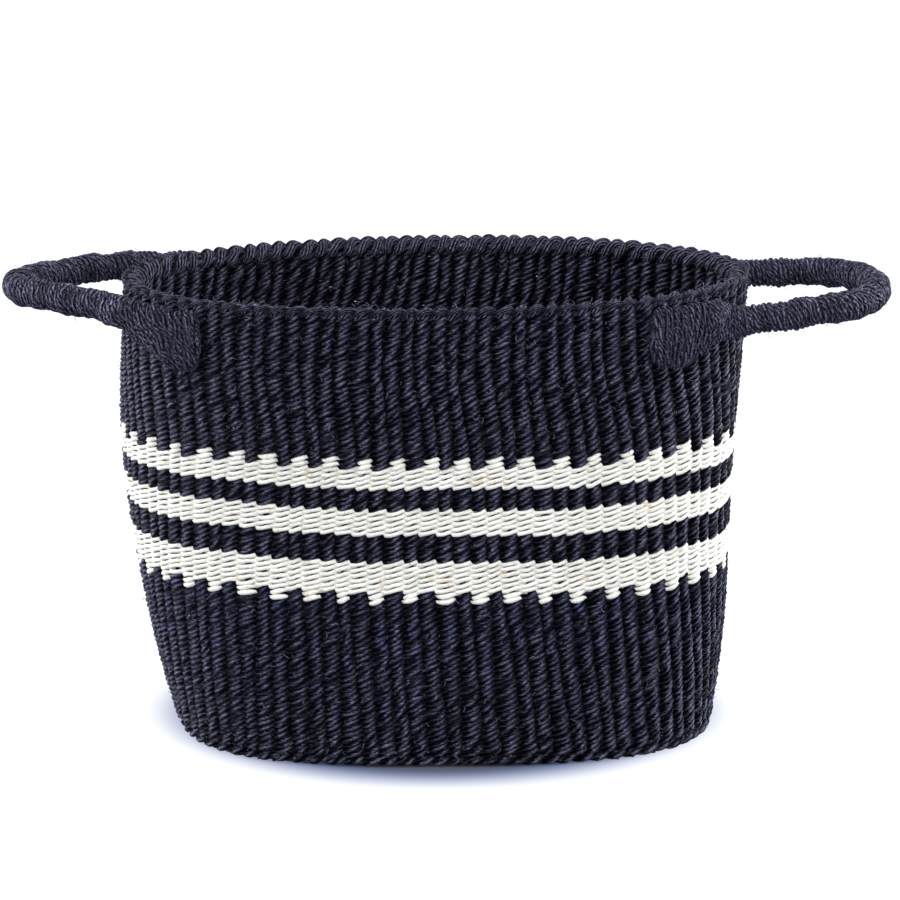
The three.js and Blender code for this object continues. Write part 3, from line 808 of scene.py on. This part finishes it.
# From the fan's rounded end to the rope. The turns lean, so that their lower sides gather to the end.
def fanSections(end, way, length):
    share, _ = rootOf(end)
    perimeter = outlineAt(wall["top"])[2][-1]
    ropeThick, fanThick = rope["radius"] - fan["wrap"], fan["thickness"] / 2
    capSteps = [(1, fan["capLength"] * beyond) for beyond in fan["capSections"]]
    fanSteps = [(t, 0) for t in np.linspace(1, 0, fan["sections"])]
    sections = []
    for t, cap in capSteps + fanSteps:
        shrink = math.sqrt(1 - (cap / fan["capLength"]) ** 2)
        distance = fan["start"] + (length - fan["start"]) * t
        spread = (distance - fan["from"]) / (length - fan["from"])
        opened = 1 - (1 - spread) ** fan["fullness"]
        tapered = max((spread - fan["taperFrom"]) / (1 - fan["taperFrom"]), 0) ** 2
        halfHeight = rope["radius"] + (fan["height"] / 2 - rope["radius"]) * opened - fan["taper"] * tapered
        halfThick = ropeThick + (fanThick - ropeThick) * t ** fan["flatness"]
        middle = wall["top"] - halfHeight * (1 + fan["hang"] * (1 - shrink))
        here = share + way * (distance + cap) / perimeter
        place, outward = outlinePoints(middle, np.array([here]), -fan["gap"] - halfThick)
        place, outward = place[0], outward[0]
        along = way * np.cross(upward, outward)
        tall = upward * halfHeight - along * fan["slant"] * (1 - t)
        sections.append((place, outward * halfThick * shrink, tall * shrink))
    return sections


# The whole length of one handle from fan to fan, as middle points with their two half sizes, and the turns of
# yarn wound so far at each of them
def handleSpine(handle):
    side = handle["side"]
    first = fanSections(handle["front"], -side, handle["fan"])
    last = fanSections(handle["back"], side, handle["fan"])
    sections = [(place, -side * thick, tall) for place, thick, tall in first]
    line = ropeLine(handle)
    for place, tangent in zip(line, np.gradient(line, axis=0)):
        across = unit(np.cross(upward, tangent))
        sections.append((place, across * rope["radius"], unit(np.cross(tangent, across)) * rope["radius"]))
    sections += [(place, -side * thick, tall) for place, thick, tall in reversed(last)]
    middles, sides, talls = (np.array(column) for column in zip(*sections))
    run = np.concatenate([[0], np.cumsum(np.linalg.norm(np.diff(middles, axis=0), axis=1))])
    samples = np.arange(0, run[-1], 1.0)
    fromEnd = np.minimum(samples, run[-1] - samples)
    pitch = np.where(fromEnd < fan["capLength"], fan["capPitch"], rope["pitch"])
    steady = np.clip((fromEnd - fan["capLength"]) / rope["smoothOver"], 0, 1)[:, None]
    window = rope["smoothing"]

    def smooth(values):
        even = np.stack([np.interp(samples, run, values[:, i]) for i in range(3)], -1)
        padded = np.pad(even, ((window // 2, window // 2), (0, 0)), mode="edge")
        soft = [np.convolve(padded[:, i], np.ones(window) / window, "valid") for i in range(3)]
        return even * (1 - steady) + np.stack(soft, -1) * steady

    swell = np.ones((len(samples), 1))
    for size, reach, phase in rope["swell"]:
        swell[:, 0] += size * steady[:, 0] * np.sin(samples / reach + phase)
    return smooth(middles), smooth(sides) * swell, smooth(talls) * swell, np.cumsum(1 / pitch)


# The turns lie calmer in the fans than on the grip, and the yarn is darker there
def woundPiece(name, spine, first, last, body, replaced=()):
    middles, sides, talls, turns = spine
    samples = np.arange(len(turns))
    fine = np.linspace(first, last, int((turns[last] - turns[first]) * rope["around"]))

    def spread(values):
        return np.stack([np.interp(fine, samples, values[:, i]) for i in range(3)], -1)

    def shrunk(values):
        least = rope["yarn"] * rope["leastRadius"]
        size = np.maximum(np.linalg.norm(values, axis=1, keepdims=True), least)
        return values * (1 - rope["yarn"] / size) * mm

    fromEnd = np.minimum(fine, len(turns) - 1 - fine)
    one = rail(
        spread(middles), shrunk(spread(sides)), np.interp(fine, samples, turns) * 2, shrunk(spread(talls)),
        strand=1.0,
        tint=np.interp(fromEnd, rope["darkZone"], [1.0, 0.0]),
        loose=np.interp(fromEnd, rope["calmZone"], [rope["calm"], 1.0]),
    )
    return strandPiece(
        name, [one], winding, materials["handleSisal"], body, replaced, windingTree
    )


def coreMesh(name, spine, first, last):
    middles, sides, talls, _ = spine
    rings = np.arange(first, last + 1, ropeCore["samplesPerRing"])
    count = ropeCore["sides"]
    points = []
    for i in rings:
        for angle in 2 * math.pi * np.arange(count) / count:
            reach = sides[i] * math.cos(angle) + talls[i] * math.sin(angle)
            points.append((middles[i] + ropeCore["share"] * reach) * mm)
    faces = [list(range(count))]
    for i in range(len(rings) - 1):
        a, b = i * count, (i + 1) * count
        for j in range(count):
            k = (j + 1) % count
            faces.append([a + k, a + j, b + j, b + k])
    faces.append([(len(rings) - 1) * count + j for j in reversed(range(count))])
    mesh = bpy.data.meshes.new(name)
    mesh.from_pydata(points, [], faces)
    mesh.materials.append(materials["darkSisal"])
    # Painted shade for the core, as the yarn material reads it
    bare = np.full(len(points), ropeCore["bare"])
    mesh.attributes.new("bare", "FLOAT", "POINT").data.foreach_set("value", bare)
    mesh.shade_smooth()
    return addObject(name, mesh)


for name, handle in handles.items():
    spine = handleSpine(handle)
    middles = spine[0]
    atFront, atBack = (
        int(np.argmin(np.linalg.norm(middles - rootOf(handle[end])[1], axis=1))) for end in ("front", "back")
    )
    frontFan, backFan = atFront - rope["knuckle"], atBack + rope["knuckle"]
    gripStart, gripEnd = atFront + rope["clear"], atBack - rope["clear"]
    body = name + "_handle"
    last = len(middles) - 1
    woundPiece(name + "_fan_front", spine, 0, frontFan, "basket", [name + "_handle_root_front"])
    woundPiece(name + "_fan_back", spine, backFan, last, "basket", [name + "_handle_root_back"])
    woundPiece(name + "_grip", spine, gripStart, gripEnd, body, [name + "_handle_wrap"])
    for label, start, end in (("front", frontFan, gripStart), ("back", backFan, gripEnd)):
        lowEnd, highEnd = min(start, end), max(start, end)
        neck = woundPiece(f"{name}_neck_{label}", spine, lowEnd, highEnd, None)
        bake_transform(neck)
        inner = coreMesh(f"{name}_neck_core_{label}", spine, lowEnd, highEnd)
        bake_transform(inner)
    for label, start, end, owner in (
        ("fan_core_front", 0, frontFan, "basket"),
        ("fan_core_back", backFan, last, "basket"),
        ("grip_core", gripStart, gripEnd, body),
    ):
        inner = coreMesh(f"{name}_{label}", spine, start, end)
        finishPiece(inner, owner, [name + "_handle_core"] if owner == body else ())
print("handles wound")


# Fuzz: short fibres that stand off the yarn, and a few long ones. bend and tip are shares of their length.
fibreShape = {
    "bend": (0.35, 0.5), "tip": -0.1, "segments": 2, "sides": 3, "leastSize": 0.35, "mostSize": 1.3,
    "sizeSeed": 7,
}


def makeFibreTree():
    floats = ("Density", "Length", "Thickness", "Stand")
    tree, given = newTree("stray fibres", {"Float": floats, "Int": ("Seed",)})
    points = addNode(
        tree, "GeometryNodeDistributePointsOnFaces",
        {"Mesh": given["Geometry"], "Density": given["Density"], "Seed": given["Seed"]},
    ).outputs
    chance = addNode(
        tree, "FunctionNodeRandomValue", {"Min": (-1, -1, -1), "Max": (1, 1, 1), "Seed": given["Seed"]},
        data_type="FLOAT_VECTOR",
    ).outputs[0]
    outward = vectorCalc(tree, "SCALE", points["Normal"], scale=given["Stand"])
    way = vectorCalc(tree, "ADD", outward, chance)
    turn = addNode(tree, "FunctionNodeAlignRotationToVector", {"Vector": way}, axis="Z").outputs[0]

    long = given["Length"]
    bendX, bendZ = (calc(tree, "MULTIPLY", long, share) for share in fibreShape["bend"])
    middle = combine(tree, bendX, z=bendZ)
    tip = combine(tree, calc(tree, "MULTIPLY", long, fibreShape["tip"]), z=long)
    line = addNode(
        tree, "GeometryNodeCurveQuadraticBezier",
        {"Resolution": fibreShape["segments"], "Start": (0, 0, 0), "Middle": middle, "End": tip},
    ).outputs[0]
    circle = {"Resolution": fibreShape["sides"], "Radius": given["Thickness"]}
    ring = addNode(tree, "GeometryNodeCurvePrimitiveCircle", circle).outputs[0]
    fibre = addNode(
        tree, "GeometryNodeCurveToMesh", {"Curve": line, "Profile Curve": ring, "Fill Caps": True}
    ).outputs[0]
    size = addNode(
        tree, "FunctionNodeRandomValue",
        {"Min": fibreShape["leastSize"], "Max": fibreShape["mostSize"], "Seed": fibreShape["sizeSeed"]},
        data_type="FLOAT",
    ).outputs[1]
    placed = addNode(
        tree, "GeometryNodeInstanceOnPoints",
        {"Points": points["Points"], "Instance": fibre, "Rotation": turn, "Scale": size},
    ).outputs[0]
    return endTree(tree, placed, given["Material"])


fibreTree = makeFibreTree()
fibreLooks = {
    "dark": {"dull": (66, 64, 84), "bright": (138, 136, 168)},
    "pale": {"dull": (205, 192, 166), "bright": (244, 242, 234)},
}
everyFibre = {"noiseScale": 210.0, "noiseDetail": 2.0, "noiseRange": (0.35, 0.65), "rough": 0.6}


def fibreMaterial(name, look):
    material, tree, shader = newMaterial(name + "Fibre")
    inSpace = addNode(tree, "ShaderNodeTexCoord").outputs["Object"]
    noise = noiseAt(tree, inSpace, everyFibre["noiseScale"], everyFibre["noiseDetail"])
    share = mapRange(tree, noise, everyFibre["noiseRange"])
    colour = mixColours(tree, share, linear(look["dull"]), linear(look["bright"]))
    tree.links.new(colour, shader.inputs["Base Color"])
    shader.inputs["Roughness"].default_value = everyFibre["rough"]
    return material


fibreMaterials = {name: fibreMaterial(name, look) for name, look in fibreLooks.items()}

# Density is fibres to a square metre, and Stand is how far they point away from the yarn
fuzzes = {
    "short": {"look": "dark", "Density": 12500, "Length": 2.7, "Thickness": 0.12, "Stand": 0.8, "Seed": 0},
    "long": {"look": "dark", "Density": 40, "Length": 11, "Thickness": 0.1, "Stand": 0.5, "Seed": 20},
    "pale": {"look": "pale", "Density": 450, "Length": 7, "Thickness": 0.13, "Stand": 0.4, "Seed": 40},
    "rim": {"look": "dark", "Density": 26000, "Length": 3.2, "Thickness": 0.1, "Stand": 0.8, "Seed": 60},
    "grip": {"look": "dark", "Density": 18000, "Length": 3.0, "Thickness": 0.1, "Stand": 0.8, "Seed": 70},
    "fan": {"look": "dark", "Density": 18000, "Length": 2.6, "Thickness": 0.1, "Stand": 0.8, "Seed": 80},
}


def fuzz(name, grownOn, kind, body, step=0):
    values = dict(fuzzes[kind])
    values["Seed"] += step
    values["Material"] = fibreMaterials[values["look"]]
    piece = addObject(name, bpy.data.objects[grownOn].data.copy())
    growWith(piece, fibreTree, values)
    settle(piece, body)


darkFields = [f"{field}_weave_{part}" for field in ("upper", "lower") for part in "abc"]
for i, grownOn in enumerate(darkFields):
    fuzz(f"fuzz_{i}", grownOn, "short", "basket", i)
    fuzz(f"long_fibres_{i}", grownOn, "long", "basket", i)
for i, band in enumerate(("lower", "middle", "upper")):
    fuzz(f"pale_fibres_{i}", "pale_weave_" + band, "pale", "basket", i)
fuzz("rim_fuzz", "rim_loops", "rim", "basket")
for name in handles:
    fuzz(name + "_grip_fuzz", name + "_grip", "grip", name + "_handle")
    for label in ("front", "back"):
        fuzz(f"{name}_fan_fuzz_{label}", f"{name}_fan_{label}", "fan", "basket")
print("fuzz grown")


# Studio: white floor and background, soft light from all sides and above. The floor is dark to the lamps, so
# that it takes a shadow, and glows white for the camera outside a ring round the foot, which paints the reach
# of the contact shadow; within the ring the lamps shade the dark floor, and the glow fades in blue first, a
# painted bluish shadow.
studio = {
    "floorRadius": 15, "floorSides": 96, "floorColour": (0.11, 0.125, 0.165), "floorRough": 0.9,
    "footHalfWidth": 0.78, "shadowFadeRange": (0.1423, 0.196), "shadowBluePowers": (1.15, 1.05, 0.8), "ambient": 0.5,
    "aim": (0, 0, 0.14),
    "lamps": [  # place, size, watts
        ((-1.7, -0.9, 1.1), 1.5, 24), ((1.7, -0.9, 1.1), 1.5, 24), ((0, -0.4, 2.0), 1.6, 8),
        ((0, -2.4, 0.3), 1.0, 22), ((-1.9, 0.7, 0.4), 0.8, 36), ((1.9, 0.7, 0.4), 0.8, 36),
    ],
}


def cameraOnly(tree):
    path = tree.nodes.new("ShaderNodeLightPath").outputs
    return calc(tree, "MAXIMUM", path["Is Camera Ray"], path["Is Transmission Ray"])


world = bpy.data.worlds.new("studio")
bpy.context.scene.world = world
world.use_nodes = True
tree = world.node_tree
background = tree.nodes["Background"]
background.inputs["Color"].default_value = (1, 1, 1, 1)
strength = calc(tree, "MULTIPLY_ADD", cameraOnly(tree), 1 - studio["ambient"], studio["ambient"])
tree.links.new(strength, background.inputs["Strength"])

bpy.ops.mesh.primitive_circle_add(
    vertices=studio["floorSides"], radius=studio["floorRadius"], fill_type="NGON", location=(0, 0, 0)
)
floor = bpy.context.object
floor.name = "floor"
floorMaterial, tree, shader = newMaterial("floor")
shader.inputs["Base Color"].default_value = (*studio["floorColour"], 1)
shader.inputs["Roughness"].default_value = studio["floorRough"]
shader.inputs["Specular IOR Level"].default_value = 0.0
place = addNode(tree, "ShaderNodeTexCoord").outputs["Object"]
# Painted contact shadow: no glow within an ellipse round the foot, fading in to white, blue first
radius = vectorCalc(tree, "LENGTH", vectorCalc(tree, "DIVIDE", place, (1, studio["footHalfWidth"], 1)))
away = mapRange(tree, radius, studio["shadowFadeRange"], interpolation_type="SMOOTHSTEP")
channels = {i: calc(tree, "POWER", away, power) for i, power in enumerate(studio["shadowBluePowers"])}
glow = addNode(tree, "ShaderNodeCombineColor", channels).outputs[0]
tree.links.new(glow, shader.inputs["Emission Color"])
tree.links.new(cameraOnly(tree), shader.inputs["Emission Strength"])
floor.data.materials.append(floorMaterial)

for i, (place, size, watts) in enumerate(studio["lamps"]):
    lamp = bpy.data.lights.new(f"lamp{i}", "AREA")
    lamp.size = size
    lamp.energy = watts
    lampObject = addObject(f"lamp{i}", lamp)
    lampObject.location = place
    aim = np.array(studio["aim"]) - np.array(place)
    flat = math.hypot(aim[0], aim[1])
    lampObject.rotation_euler = (math.atan2(flat, -aim[2]), 0, math.atan2(aim[1], aim[0]) - math.pi / 2)
bpy.context.scene.view_settings.view_transform = "Standard"
print("studio lit")
